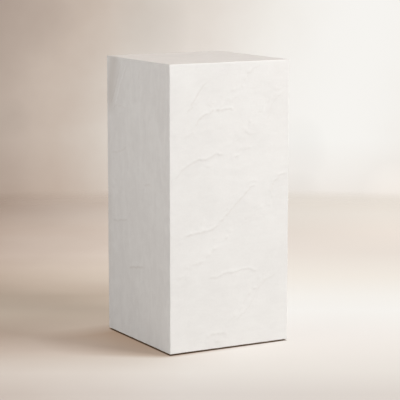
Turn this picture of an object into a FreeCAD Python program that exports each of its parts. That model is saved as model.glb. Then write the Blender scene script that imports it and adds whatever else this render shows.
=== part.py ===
import FreeCAD, Part

import os

import Sketcher
from FreeCAD import Placement, Rotation, Vector

# A square plinth with a thin, hand-trowelled coat of white plaster, in millimetres. It stands on z = 0 with
# the origin under its middle, +Z up and its front towards -Y. Under the plaster is a box of boards, dowelled
# at its edges and stiffened by battens and a brace board. It stands on four levelling feet, screwed fully in.

SIZES = {
    # Outside: square in plan, with a shadow line between the floor and the plaster
    "overall_wide": 360,
    "overall_high": 762,
    "floor_gap": 4,
    "coat_thick": 3,
    "arris_radius": 1.2,
    # Boards
    "wall_thick": 15,
    "top_thick": 18,
    "base_thick": 18,
    "brace_thick": 12,
    # Battens: square in section, cut a little short
    "batten_side": 25,
    "batten_gap": 0.3,
    # Dowels: the bite is the shorter depth, into the face of a board
    "dowel_wide": 8,
    "dowel_long": 30,
    "dowel_bevel": 0.8,
    "dowel_bite": 10,
    "dowel_side_clear": 0.05,
    "dowel_end_clear": 0.5,
    # Countersunk screws: the bite is how far one that goes through a batten reaches into the board behind
    "screw_bite": 10,
    "screw_wide": 4,
    "screw_tip": 6,
    "screw_head_wide": 8,
    "screw_head_high": 2.4,
    "screw_head_rim": 0.4,
    "screw_clear": 0.05,
    "recess_long": 4.4,
    "recess_wide": 1.2,
    "recess_deep": 1.6,
    # Foot bolts: thread taken as a plain shank, a hexagon to turn it by, and a disc held in the pad
    "shank_wide": 8,
    "shank_long": 30,
    "shank_bevel": 1,
    "hex_flat": 13,
    "hex_high": 5,
    "neck_wide": 7,
    "disc_rim": 2.5,
    "disc_high": 2.8,
    # Foot pads
    "pad_floor": 2,
    "pad_lip": 2.6,
    "pad_wall": 3.7,
    "pad_skirt": 5,
    "pad_edge": 3,
    "pad_bevel": 0.8,
    "swivel_gap": 0.3,
    # T-nuts, and how far the feet keep from the battens
    "thread_clear": 0.2,
    "barrel_wall": 1,
    "barrel_high": 12,
    "flange_rim": 5.8,
    "flange_thick": 1.4,
    "prong_wide": 3,
    "prong_thick": 1,
    "prong_high": 7,
    "prong_inset": 0.5,
    "nut_clear": 0.1,
    "stop_gap": 0.3,
    "foot_clear": 5,
    # How far a cutting tool reaches past the face that it starts from
    "overrun": 1,
}
WALL_DOWEL_COUNT = 5
PRONG_COUNT = 4
TOP_DOWEL_SHARES = (-0.7, 0, 0.7)
BOARD_SCREW_SHARES = (-0.6, 0.6)
CLEAT_SCREW_SHARES = (-0.25, 0.25)
BRACE_SCREW_SHARES = (-0.45, 0.45)
FULL_TURN = 360
HEX_SIDES = 6

# Heights, from the floor up through a foot to the boards
PAD_HIGH = "(dims.pad_floor + dims.disc_high + 2 * dims.swivel_gap + dims.pad_lip)"
HEX_LOW = f"({PAD_HIGH} + dims.swivel_gap)"
HEX_TOP = f"({HEX_LOW} + dims.hex_high)"
FLANGE_LOW = f"({HEX_TOP} + dims.stop_gap)"
BASE_LOW = f"({FLANGE_LOW} + dims.flange_thick)"
BASE_TOP = f"({BASE_LOW} + dims.base_thick)"
WALL_TOP = "(dims.overall_high - dims.coat_thick - dims.top_thick)"
WALL_HIGH = f"({WALL_TOP} - dims.floor_gap)"
BRACE_MIDDLE = f"(({BASE_TOP} + {WALL_TOP}) / 2)"
SCREW_LONG = "(dims.batten_side + dims.screw_bite)"

# Half widths in plan: outside of the boards, inside of the walls, and where the feet stand
CORE = "(dims.overall_wide / 2 - dims.coat_thick)"
INNER = f"({CORE} - dims.wall_thick)"
FOOT_AT = f"({INNER} - dims.batten_side - dims.foot_clear - dims.shank_wide / 2)"

# The outward direction of each wall
SIDES = {"front": (0, -1), "back": (0, 1), "left": (-1, 0), "right": (1, 0)}
CORNERS = {"front_left": (-1, -1), "front_right": (1, -1), "back_left": (-1, 1), "back_right": (1, 1)}
UPWARD = Rotation()

doc = FreeCAD.newDocument("pedestal")
sheet = doc.addObject("Spreadsheet::Sheet", "dims")
for row, (alias, number) in enumerate(SIZES.items(), start=1):
    sheet.set(f"A{row}", str(number))
    sheet.setAlias(f"A{row}", alias)
doc.recompute()

pieces = []


def value(text):
    """The number that an expression on the sheet comes to."""
    return float(sheet.evalExpression(str(text)))


def bind_place(thing, x, y, z):
    """Ties where a thing stands to the sheet."""
    for axis, text in zip("xyz", (x, y, z)):
        thing.setExpression(f"Placement.Base.{axis}", str(text))


def keep(thing, name):
    """Makes a thing one of the finished pieces."""
    thing.Label = name
    pieces.append(thing)


# Sketches and solids


def pin(sketch, line, kind, text):
    """Holds the start of a line at a distance from the sketch's origin, or on an axis.

    To the sketcher, point 1 of a line is its start and point 2 its end. Item -1 is the origin and the axis
    across the sketch, and item -2 its upright axis.
    """
    if text == "0":
        axis = -2 if kind == "DistanceX" else -1
        sketch.addConstraint(Sketcher.Constraint("PointOnObject", line, 1, axis))
        return
    made = sketch.addConstraint(Sketcher.Constraint(kind, -1, 1, line, 1, value(text)))
    sketch.setExpression(f"Constraints[{made}]", text)


def outline(body, name, role, corners):
    """A closed outline on one of a body's own planes, each corner tied to the sheet."""
    sketch = body.newObject("Sketcher::SketchObject", name)
    plane = next(item for item in body.Origin.OriginFeatures if item.Role == role)
    sketch.AttachmentSupport = [(plane, "")]
    sketch.MapMode = "FlatFace"
    points = [Vector(value(across), value(up), 0) for across, up in corners]
    for line, point in enumerate(points):
        sketch.addGeometry(Part.LineSegment(point, points[(line + 1) % len(points)]), False)
    for line in range(len(points)):
        sketch.addConstraint(Sketcher.Constraint("Coincident", line, 2, (line + 1) % len(points), 1))
    for line, (across, up) in enumerate(corners):
        pin(sketch, line, "DistanceX", across)
        pin(sketch, line, "DistanceY", up)
    return sketch


def square(half):
    """The corners of a square about the origin."""
    return [(f"-{half}", f"-{half}"), (half, f"-{half}"), (half, half), (f"-{half}", half)]


def pad(body, name, corners, thick, low="0"):
    """A plate raised from an outline that lies at a height in its body."""
    sketch = outline(body, f"{name}_outline", "XY_Plane", corners)
    sketch.setExpression("AttachmentOffset.Base.z", low)
    plate = body.newObject("PartDesign::Pad", name)
    plate.Profile = sketch
    plate.setExpression("Length", thick)
    doc.recompute()
    return plate


def pocket_up(body, name, corners, deep):
    """A hollow cut upward from the body's own XY plane."""
    before = body.Shape.Volume
    hollow = body.newObject("PartDesign::Pocket", name)
    hollow.Profile = outline(body, f"{name}_outline", "XY_Plane", corners)
    hollow.Reversed = True
    hollow.setExpression("Length", deep)
    doc.recompute()
    if not body.Shape.Volume < before:
        raise RuntimeError(f"{name} cuts nothing")
    return hollow


def turned(name, corners):
    """A body turned about its upright axis from an outline of radius and height."""
    body = doc.addObject("PartDesign::Body", name)
    shape = body.newObject("PartDesign::Revolution", f"{name}_turned")
    shape.Profile = outline(body, f"{name}_profile", "XZ_Plane", corners)
    shape.ReferenceAxis = (shape.Profile[0], ["V_Axis"])
    shape.Angle = FULL_TURN
    doc.recompute()
    return body


def block(name, size, low):
    """A plain board or batten, from its size and its lowest corner."""
    box = doc.addObject("Part::Box", name)
    for side, text in zip(("Length", "Width", "Height"), size):
        box.setExpression(side, text)
    bind_place(box, *low)
    return box


def copies(name, source, places):
    """Linked copies of one body, one at each place."""
    links = []
    for number, (x, y, z, rotation) in enumerate(places):
        link = doc.addObject("App::Link", f"{name}_{number}")
        link.LinkedObject = source
        link.Placement = Placement(Vector(), rotation)
        bind_place(link, x, y, z)
        links.append(link)
    return links


def group(name, source, places):
    """Identical fasteners that share one node."""
    fasteners = doc.addObject("Part::Compound", name)
    fasteners.Links = copies(f"{name}_copy", source, places)
    keep(fasteners, name)


def drill(name, blank, *holes):
    """A finished board or batten: the blank without the holes, each given as a tool and its places."""
    links = []
    for number, (tool, places) in enumerate(holes):
        links += copies(f"{name}_hole_{number}", tool, places)
    tools = doc.addObject("Part::Compound", f"{name}_holes")
    tools.Links = links
    board = doc.addObject("Part::Cut", f"{name}_drilled")
    board.Base = blank
    board.Tool = tools
    keep(board, name)


# Places


def spot(side, along, depth):
    """A place in plan, along a wall from its middle and in from the outside of the boards."""
    out_x, out_y = SIDES[side]
    across = f"({CORE} - {depth})"
    if out_x:
        return f"{out_x} * {across}", along
    return along, f"{out_y} * {across}"


def inward(side):
    """The turn that points an upright piece into the box from a wall."""
    out_x, out_y = SIDES[side]
    return Rotation(Vector(0, 0, 1), Vector(-out_x, -out_y, 0))


def outward(side):
    """The turn that points an upright piece out of the box through a wall."""
    out_x, out_y = SIDES[side]
    return Rotation(Vector(0, 0, 1), Vector(out_x, out_y, 0))


def wall_dowel_places(side, hand):
    """The dowels of one upright corner, from the inside of the front or back into the end of a side wall."""
    along = f"{hand} * ({CORE} - dims.wall_thick / 2)"
    x, y = spot(side, along, "(dims.wall_thick - dims.dowel_bite)")
    places = []
    for step in range(WALL_DOWEL_COUNT):
        share = (step + 0.5) / WALL_DOWEL_COUNT
        places.append((x, y, f"dims.floor_gap + {share} * {WALL_HIGH}", inward(side)))
    return places


def top_dowel_places(side):
    """The dowels that stand in the top edge of one wall."""
    low = f"{WALL_TOP} - dims.dowel_long + dims.dowel_bite"
    plan = [spot(side, f"{share} * {INNER}", "dims.wall_thick / 2") for share in TOP_DOWEL_SHARES]
    return [(x, y, low, UPWARD) for x, y in plan]


def board_screw_places(side, low):
    """The upright screws on the middle line of one cleat."""
    depth = "(dims.wall_thick + dims.batten_side / 2)"
    plan = [spot(side, f"{share} * {INNER}", depth) for share in BOARD_SCREW_SHARES]
    return [(x, y, low, UPWARD) for x, y in plan]


def cleat_screw_places(side, middle):
    """The level screws that hold one cleat to its wall."""
    depth = "(dims.wall_thick + dims.batten_side)"
    plan = [spot(side, f"{share} * {INNER}", depth) for share in CLEAT_SCREW_SHARES]
    return [(x, y, middle, outward(side)) for x, y in plan]


def brace_screw_places(side):
    """The level screws through one wall into the edge of the brace."""
    plan = [spot(side, f"{share} * {INNER}", "0") for share in BRACE_SCREW_SHARES]
    return [(x, y, BRACE_MIDDLE, inward(side)) for x, y in plan]


FOOT_PLACES = {name: (f"{x} * {FOOT_AT}", f"{y} * {FOOT_AT}") for name, (x, y) in CORNERS.items()}
NUT_PLACES = [(x, y, FLANGE_LOW, UPWARD) for x, y in FOOT_PLACES.values()]
WALL_DOWELS = {
    (side, hand): wall_dowel_places(side, across)
    for side in ("front", "back")
    for hand, across in (("left", -1), ("right", 1))
}
TOP_DOWELS = {side: top_dowel_places(side) for side in SIDES}
BASE_SCREWS = {side: board_screw_places(side, BASE_LOW) for side in SIDES}
TOP_SCREWS = {side: board_screw_places(side, f"{WALL_TOP} - dims.batten_side") for side in SIDES}
LOW_CLEAT_SCREWS = {side: cleat_screw_places(side, f"{BASE_TOP} + dims.batten_side / 2") for side in SIDES}
TOP_CLEAT_SCREWS = {side: cleat_screw_places(side, f"{WALL_TOP} - dims.batten_side / 2") for side in SIDES}
BRACE_SCREWS = {side: brace_screw_places(side) for side in SIDES}


def every(table):
    """All the places of a table in one list."""
    return [place for places in table.values() for place in places]


# Dowels and screws, and the tools that drill for them


def dowel():
    """A dowel with bevelled ends, upright from its lower end."""
    radius = "dims.dowel_wide / 2"
    bevel = "dims.dowel_bevel"
    return turned(
        "dowel",
        [
            ("0", "0"),
            (f"{radius} - {bevel}", "0"),
            (radius, bevel),
            (radius, f"dims.dowel_long - {bevel}"),
            (f"{radius} - {bevel}", "dims.dowel_long"),
            ("0", "dims.dowel_long"),
        ],
    )


def dowel_hole():
    """The room for one dowel."""
    radius = "dims.dowel_wide / 2 + dims.dowel_side_clear"
    low = "-dims.dowel_end_clear"
    top = "dims.dowel_long + dims.dowel_end_clear"
    return turned("dowel_hole", [("0", low), (radius, low), (radius, top), ("0", top)])


def screw():
    """A countersunk screw with a cross recess, its head at the origin and its point up."""
    head = "dims.screw_head_wide / 2"
    shank = "dims.screw_wide / 2"
    body = turned(
        "screw",
        [
            ("0", "0"),
            (head, "0"),
            (head, "dims.screw_head_rim"),
            (shank, "dims.screw_head_high"),
            (shank, f"{SCREW_LONG} - dims.screw_tip"),
            ("0", SCREW_LONG),
        ],
    )
    far = "dims.recess_long / 2"
    near = "dims.recess_wide / 2"
    cross = [(far, near), (near, near), (near, far)]
    corners = list(cross)
    corners += [(f"-{x}", y) for x, y in reversed(cross)]
    corners += [(f"-{x}", f"-{y}") for x, y in cross]
    corners += [(x, f"-{y}") for x, y in reversed(cross)]
    pocket_up(body, "screw_recess", corners, "dims.recess_deep")
    return body


def screw_hole():
    """The room for one screw, open past its head."""
    head = "dims.screw_head_wide / 2 + dims.screw_clear"
    shank = "dims.screw_wide / 2 + dims.screw_clear"
    low = "-dims.overrun"
    top = f"{SCREW_LONG} + dims.screw_clear"
    return turned(
        "screw_hole",
        [
            ("0", low),
            (head, low),
            (head, "dims.screw_head_rim + dims.screw_clear"),
            (shank, "dims.screw_head_high + dims.screw_clear"),
            (shank, top),
            ("0", top),
        ],
    )


# T-nuts


def prongs(body, name, clear, low, high):
    """The ring of prongs near a T-nut's rim, or the slots that they press into the board."""
    outer = f"{flange_radius()} - dims.prong_inset + {clear}"
    inner = f"{flange_radius()} - dims.prong_inset - dims.prong_thick - {clear}"
    side = f"dims.prong_wide / 2 + {clear}"
    corners = [(inner, f"-({side})"), (outer, f"-({side})"), (outer, side), (inner, side)]
    first = pad(body, f"{name}_prong", corners, high, low)
    ring = body.newObject("PartDesign::PolarPattern", f"{name}_prongs")
    ring.Originals = [first]
    ring.Axis = (first.Profile[0], ["N_Axis"])
    ring.Angle = FULL_TURN
    ring.Occurrences = PRONG_COUNT
    body.Tip = ring
    doc.recompute()


def barrel_radius():
    """The outside of a T-nut's barrel."""
    return "dims.shank_wide / 2 + dims.thread_clear + dims.barrel_wall"


def flange_radius():
    """The outside of a T-nut's flange."""
    return f"{barrel_radius()} + dims.flange_rim"


def t_nut():
    """A T-nut, its flange at the origin and its barrel and prongs up."""
    bore = "dims.shank_wide / 2 + dims.thread_clear"
    top = "dims.flange_thick + dims.barrel_high"
    body = turned(
        "t_nut",
        [
            (bore, "0"),
            (flange_radius(), "0"),
            (flange_radius(), "dims.flange_thick"),
            (barrel_radius(), "dims.flange_thick"),
            (barrel_radius(), top),
            (bore, top),
        ],
    )
    prongs(body, "t_nut", "0", "dims.flange_thick", "dims.prong_high")
    return body


def t_nut_hole():
    """The bore through the bottom board and the slots for the prongs."""
    radius = f"{barrel_radius()} + dims.nut_clear"
    low = "dims.flange_thick - dims.overrun"
    top = "dims.flange_thick + dims.base_thick + dims.overrun"
    body = turned("t_nut_hole", [("0", low), (radius, low), (radius, top), ("0", top)])
    high = "dims.prong_high + dims.nut_clear"
    prongs(body, "t_nut_hole", "dims.nut_clear", "dims.flange_thick", high)
    return body


# Feet


def foot_bolt(name, x, y):
    """A foot's bolt: the disc held in the pad, the neck, the hexagon and the shank."""
    neck = "dims.neck_wide / 2"
    disc = f"{neck} + dims.disc_rim"
    disc_low = "dims.pad_floor + dims.swivel_gap"
    disc_top = f"{disc_low} + dims.disc_high"
    shank = "dims.shank_wide / 2"
    tip = f"{HEX_TOP} + dims.shank_long"
    body = turned(
        name,
        [
            ("0", disc_low),
            (disc, disc_low),
            (disc, disc_top),
            (neck, disc_top),
            (neck, HEX_LOW),
            (shank, HEX_LOW),
            (shank, f"{tip} - dims.shank_bevel"),
            (f"{shank} - dims.shank_bevel", tip),
            ("0", tip),
        ],
    )
    reach = "dims.hex_flat / sqrt(3)"
    corners = []
    for step in range(HEX_SIDES):
        angle = step * FULL_TURN / HEX_SIDES
        up = f"{reach} * sin({angle} deg)" if step % (HEX_SIDES // 2) else "0"
        corners.append((f"{reach} * cos({angle} deg)", up))
    pad(body, f"{name}_hexagon", corners, "dims.hex_high", HEX_LOW)
    bind_place(body, x, y, 0)
    keep(body, name)


def foot_pad(name, x, y):
    """A foot's pad, hollow for the bolt's disc and open above for its neck."""
    opening = "dims.neck_wide / 2 + dims.swivel_gap"
    hollow = f"{opening} + dims.disc_rim"
    top = f"{hollow} + dims.pad_wall"
    rim = f"{top} + dims.pad_skirt"
    ceiling = f"{PAD_HIGH} - dims.pad_lip"
    body = turned(
        name,
        [
            ("0", "0"),
            (f"{rim} - dims.pad_bevel", "0"),
            (rim, "dims.pad_bevel"),
            (rim, "dims.pad_bevel + dims.pad_edge"),
            (top, PAD_HIGH),
            (opening, PAD_HIGH),
            (opening, ceiling),
            (hollow, ceiling),
            (hollow, "dims.pad_floor"),
            ("0", "dims.pad_floor"),
        ],
    )
    bind_place(body, x, y, 0)
    keep(body, name)


# Boards


def plaster_coat():
    """The coat of plaster on the four walls and the top, with its outside edges just taken off."""
    body = doc.addObject("PartDesign::Body", "coat")
    high = "(dims.overall_high - dims.floor_gap)"
    solid = pad(body, "coat_block", square("(dims.overall_wide / 2)"), high)
    edges = [
        f"Edge{number}"
        for number, edge in enumerate(solid.Shape.Edges, start=1)
        if edge.BoundBox.ZMax > solid.Shape.BoundBox.ZMin + value("dims.arris_radius")
    ]
    arris = body.newObject("PartDesign::Fillet", "coat_arris")
    arris.Base = (solid, edges)
    arris.setExpression("Radius", "dims.arris_radius")
    doc.recompute()
    pocket_up(body, "coat_hollow", square(CORE), f"{high} - dims.coat_thick")
    bind_place(body, 0, 0, "dims.floor_gap")
    keep(body, "plaster_coat")


def walls(dowel_tool, screw_tool):
    """The four walls: front and back cover the ends of the side walls."""
    low_across = f"-{CORE}"
    for side, (out_x, out_y) in SIDES.items():
        if out_y:
            size = (f"2 * {CORE}", "dims.wall_thick", WALL_HIGH)
            low = (low_across, low_across if out_y < 0 else INNER, "dims.floor_gap")
            dowels = WALL_DOWELS[side, "left"] + WALL_DOWELS[side, "right"]
        else:
            size = ("dims.wall_thick", f"2 * {INNER}", WALL_HIGH)
            low = (low_across if out_x < 0 else INNER, f"-{INNER}", "dims.floor_gap")
            dowels = WALL_DOWELS["front", side] + WALL_DOWELS["back", side]
        screws = BRACE_SCREWS[side] + LOW_CLEAT_SCREWS[side] + TOP_CLEAT_SCREWS[side]
        blank = block(f"{side}_wall", size, low)
        drill(f"{side}_panel", blank, (dowel_tool, dowels + TOP_DOWELS[side]), (screw_tool, screws))


def top_panel(dowel_tool, screw_tool):
    """The board that lies on the four walls."""
    size = (f"2 * {CORE}", f"2 * {CORE}", "dims.top_thick")
    blank = block("top_board", size, (f"-{CORE}", f"-{CORE}", WALL_TOP))
    drill("top_panel", blank, (dowel_tool, every(TOP_DOWELS)), (screw_tool, every(TOP_SCREWS)))


def bottom_panel(nut_tool, screw_tool):
    """The board let in between the walls, which carries the feet."""
    size = (f"2 * {INNER}", f"2 * {INNER}", "dims.base_thick")
    blank = block("bottom_board", size, (f"-{INNER}", f"-{INNER}", BASE_LOW))
    drill("bottom_panel", blank, (nut_tool, NUT_PLACES), (screw_tool, every(BASE_SCREWS)))


def mid_brace(screw_tool):
    """The board at mid height, notched round the corner posts."""
    far = INNER
    near = f"({INNER} - dims.batten_side - dims.batten_gap)"
    notch = [(far, near), (near, near), (near, far)]
    corners = list(notch)
    corners += [(f"-{x}", y) for x, y in reversed(notch)]
    corners += [(f"-{x}", f"-{y}") for x, y in notch]
    corners += [(x, f"-{y}") for x, y in reversed(notch)]
    body = doc.addObject("PartDesign::Body", "brace_board")
    pad(body, "brace_plate", corners, "dims.brace_thick")
    bind_place(body, 0, 0, f"{BRACE_MIDDLE} - dims.brace_thick / 2")
    drill("mid_brace", body, (screw_tool, every(BRACE_SCREWS)))


# Battens


def corner_posts():
    """The battens up the four inside corners, from the bottom board to just under the top."""
    size = ("dims.batten_side", "dims.batten_side", f"{WALL_TOP} - {BASE_TOP} - dims.batten_gap")
    near = f"({INNER} - dims.batten_side)"
    for name, (x, y) in CORNERS.items():
        low = (near if x > 0 else f"-{INNER}", near if y > 0 else f"-{INNER}", BASE_TOP)
        keep(block(f"post_{name}", size, low), f"corner_post_{name}")


def cleats(level, low, board_screws, wall_screws, screw_tool):
    """The battens along the four walls at one level, between the corner posts."""
    reach = f"({INNER} - dims.batten_side - dims.batten_gap)"
    near = f"({INNER} - dims.batten_side)"
    for side, (out_x, out_y) in SIDES.items():
        if out_y:
            size = (f"2 * {reach}", "dims.batten_side", "dims.batten_side")
            corner = (f"-{reach}", near if out_y > 0 else f"-{INNER}", low)
        else:
            size = ("dims.batten_side", f"2 * {reach}", "dims.batten_side")
            corner = (near if out_x > 0 else f"-{INNER}", f"-{reach}", low)
        blank = block(f"{level}_batten_{side}", size, corner)
        drill(f"{level}_cleat_{side}", blank, (screw_tool, board_screws[side] + wall_screws[side]))


plaster_coat()

dowel_tool = dowel_hole()
screw_tool = screw_hole()
top_panel(dowel_tool, screw_tool)
walls(dowel_tool, screw_tool)
bottom_panel(t_nut_hole(), screw_tool)
mid_brace(screw_tool)
corner_posts()
cleats("bottom", BASE_TOP, BASE_SCREWS, LOW_CLEAT_SCREWS, screw_tool)
cleats("top", f"{WALL_TOP} - dims.batten_side", TOP_SCREWS, TOP_CLEAT_SCREWS, screw_tool)

dowel_body = dowel()
group("wall_dowels", dowel_body, every(WALL_DOWELS))
group("top_dowels", dowel_body, every(TOP_DOWELS))
screw_body = screw()
group("base_screws", screw_body, every(BASE_SCREWS))
group("top_screws", screw_body, every(TOP_SCREWS))
group("cleat_screws", screw_body, every(LOW_CLEAT_SCREWS) + every(TOP_CLEAT_SCREWS))
group("brace_screws", screw_body, every(BRACE_SCREWS))
group("t_nuts", t_nut(), NUT_PLACES)

for corner, (foot_x, foot_y) in FOOT_PLACES.items():
    foot_bolt(f"foot_bolt_{corner}", foot_x, foot_y)
    foot_pad(f"foot_pad_{corner}", foot_x, foot_y)

doc.recompute()
for thing in doc.Objects:
    if "Invalid" in thing.State or "Error" in thing.State:
        raise RuntimeError(f"{thing.Name} failed: {thing.State}")
for piece in pieces:
    if piece.Shape.isNull() or not piece.Shape.isValid():
        raise RuntimeError(f"{piece.Label} has no valid shape")

os.makedirs("parts", exist_ok=True)
for piece in pieces:
    piece.Shape.exportStep(f"parts/{piece.Label}.step")
    print(f"{piece.Label}: {len(piece.Shape.Solids)} solids, {piece.Shape.Volume:.0f} mm3")
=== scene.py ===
# How the pedestal looks: a square plinth under one hand-trowelled coat of white plaster, and the boards,
# battens and feet that it hides. Lengths are in metres in the frame of the solids, and tables of marks in
# millimetres.
import math

import bpy
import numpy as np
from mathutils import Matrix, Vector

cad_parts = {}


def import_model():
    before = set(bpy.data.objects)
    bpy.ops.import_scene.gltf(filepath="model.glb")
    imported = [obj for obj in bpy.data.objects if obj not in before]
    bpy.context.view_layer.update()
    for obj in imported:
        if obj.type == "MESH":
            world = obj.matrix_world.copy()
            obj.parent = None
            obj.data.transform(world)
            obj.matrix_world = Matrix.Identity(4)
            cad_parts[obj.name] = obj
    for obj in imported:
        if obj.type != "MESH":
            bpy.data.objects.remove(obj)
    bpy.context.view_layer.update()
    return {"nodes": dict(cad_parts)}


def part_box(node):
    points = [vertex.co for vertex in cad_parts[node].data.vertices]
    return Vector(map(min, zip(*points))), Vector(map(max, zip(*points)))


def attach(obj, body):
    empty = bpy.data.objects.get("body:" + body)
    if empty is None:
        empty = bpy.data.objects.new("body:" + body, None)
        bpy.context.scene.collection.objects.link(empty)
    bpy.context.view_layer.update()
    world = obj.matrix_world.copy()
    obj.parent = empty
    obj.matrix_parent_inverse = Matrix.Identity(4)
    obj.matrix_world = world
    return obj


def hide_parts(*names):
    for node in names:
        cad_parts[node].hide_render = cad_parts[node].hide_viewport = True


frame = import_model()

MM = 0.001
SEED = 7
AXES = X, Y, Z = 0, 1, 2
FULL_TURN = 2 * math.pi
SAME_PLACE = 1e-9
NOT_ZERO = 1e-12

# Plaster coat: its grid, its rounded edges, and the way in which the marks of a face die out round an edge
COAT_LOW, COAT_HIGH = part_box("plaster_coat")
CORE_LOW, CORE_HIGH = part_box("top_panel")
CELL = 3.6 * MM
ARRIS = 1.2 * MM
ARRIS_CHANGE = 0.25 * MM
ARRIS_WAVES = 20 * MM, 90 * MM
ARRIS_ROOM = 1.6 * MM
ARRIS_STEPS = 2
RAMP = 8 * MM
SHARP_FROM = math.radians(50)

# Waves of the coat: how high they are, and the shortest and the longest of them
SWELL_HIGH = 0.16 * MM
SWELL_LONG = 90 * MM, 260 * MM
RIPPLE_HIGH = 0.035 * MM
RIPPLE_LONG = 28 * MM, 70 * MM
STROKE_HIGH = 0.012 * MM
STROKE_LONG = 10 * MM, 22 * MM
STROKE_HEADING = math.radians(-50)
STROKE_SPREAD = 0.35
FEW_WAVES = 24

# Laps: the edges that the trowel leaves, where the coat thickens to a bead and drops
# Their crease is painted darker, with a little dirt and painted shade, and their bead gets a painted
# highlight
LIP_HIGH = 0.16 * MM
LIP_LONG = 18 * MM
BEAD_HIGH = 0.44 * MM
BEAD_WIDE = 3.0 * MM
DROP_LONG = 3.6 * MM
DROP_BELOW = 1.2 * MM
CREASE_WIDE = 2.2 * MM
HIGHLIGHT_SHARE = 0.3
LAP_FADE = 16 * MM
LAP_STEP = 1.5 * MM
LAP_SHAKE = 1.0 * MM
SHAKE_LONG = 7 * MM, 26 * MM
MOST_HIGHLIGHT = -1
DARKEST = 2
SHADE_VEIL_ENDS = 3.5

# Crumbs: their spacing, scatter and length in millimetres, headings in degrees, heights and tones
CRUMB_EVERY = 17
CRUMB_ASIDE = 8
CRUMB_LONG = 12, 28
CRUMB_HEADING = -12, 50
CRUMB_BEND = -35, 35
CRUMB_HIGH = 0.3, 1.0
CRUMB_TONE = 0.0, 0.4

# Laps of the faces out of view: places as shares of the face, headings in degrees, steps in millimetres
WANDER_ROWS = 6
WANDER_ROWS_ON_TOP = 2
WANDER_MARGIN = 30
WANDER_ON_TOP = 0.42
WANDER_LEFT_OUT = 0.2
WANDER_START = -0.42
WANDER_APART = 0.45
WANDER_ASIDE = -0.05, 0.08
WANDER_UP = 0.1, 0.6
WANDER_HEADING = 10, 55
WANDER_BEND = -14, 14
WANDER_STEP = 22, 38
WANDER_POINTS = 3, 6
WANDER_END = 0.49
WANDER_HIGH = 0.5, 1.2
WANDER_TONE = 0.3, 0.7
WANDER_CUT = 0.3

# How far the grid's points are drawn to the laps
GATHER_SHARE = 0.6
GATHER_REACH = 9 * MM
GATHER_MARGIN = 12 * MM

# Laps placed on the photograph. Each says how high it is, how strong its painted tone is, dirt and painted
# shade in the crease above 0 and a painted highlight below, whether its last end is cut off, and which
# points it
# passes: millimetres across from the middle of the face and up from the floor, as seen from outside. The
# coat drops to the right of the way that the points run.
FRONT_LAPS = [
    (1.0, 0.7, False, [
        (-140, 308), (-126, 314), (-109, 318), (-89, 320), (-56, 325), (-41, 333), (-6, 366), (44, 412),
        (65, 430), (84, 432),
    ]),
    (1.15, 0.8, True, [
        (-110, 594), (-103, 604), (-90, 620), (-76, 629), (-62, 632), (-49, 639), (-22, 638), (4, 641),
    ]),
    (1.0, 0.45, False, [
        (-167, 458), (-156, 475), (-144, 487), (-131, 496), (-109, 507), (-94, 511), (-69, 512), (-47, 521),
        (-17, 520),
    ]),
    (0.8, 0.9, False, [(-132, 632), (-120, 646), (-114, 658), (-103, 676), (-86, 700), (-68, 716)]),
    (1.1, 0.6, False, [
        (125, 404), (128, 424), (134, 438), (143, 446), (151, 454), (158, 458), (168, 458), (179, 455),
    ]),
    (0.9, 0.3, True, [
        (-68, 194), (-54, 196), (-41, 195), (-21, 204), (12, 205), (45, 211), (61, 210), (71, 205),
        (80, 203),
    ]),
    (0.4, 0.5, False, [
        (14, 73), (56, 105), (84, 151), (94, 161), (112, 177), (125, 180), (136, 187), (148, 194),
    ]),
    (0.3, 0.3, False, [(34, 112), (60, 140), (90, 166), (120, 186), (146, 197)]),
    (0.6, 0.3, False, [(-122, 236), (-96, 237), (-84, 240), (-64, 240)]),
    (0.6, 0.3, False, [(-73, 248), (-60, 262), (-51, 268), (-38, 280)]),
    (1.1, 0.3, False, [(-72, 28), (-66, 38), (-51, 43), (-15, 42), (-6, 30)]),
    (0.4, 0.5, False, [(38, 702), (49, 725), (63, 738), (78, 747), (94, 753)]),
    (0.3, 0.4, False, [(108, 596), (114, 609), (125, 644), (149, 669), (173, 683)]),
    (0.3, 0.2, False, [(122, 671), (142, 668), (158, 667), (168, 676)]),
    (0.5, 0.2, False, [(46, 434), (66, 446), (86, 440)]),
    (0.5, 0.2, False, [(-112, 652), (-92, 668), (-70, 712), (-60, 724)]),
    (0.5, 0.2, False, [(-92, 703), (-79, 699), (-64, 699)]),
    (0.5, 0.3, False, [(-66, 656), (-56, 647), (-45, 647)]),
    (0.5, 0.2, False, [(-69, 644), (-59, 639), (-47, 645)]),
    (0.6, 0.2, False, [(-80, 494), (-64, 491), (-49, 494)]),
    (0.4, 0.2, False, [(-60, 527), (-47, 524), (-34, 524)]),
    (0.5, 0.3, False, [(-68, 331), (-59, 338), (-47, 341)]),
    (0.5, 0.3, False, [(-39, 342), (-30, 349), (-21, 352)]),
    (0.5, 0.3, False, [(-21, 369), (-13, 375), (-2, 374)]),
    (0.5, 0.3, False, [(0, 655), (12, 668), (30, 672)]),
    (0.5, 0.3, False, [(28, 584), (38, 587), (50, 576), (64, 571), (79, 574)]),
    (0.5, 0.2, False, [(15, 565), (28, 565), (41, 560), (57, 562)]),
    (0.5, 0.2, False, [(36, 534), (51, 533), (70, 536)]),
]
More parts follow.
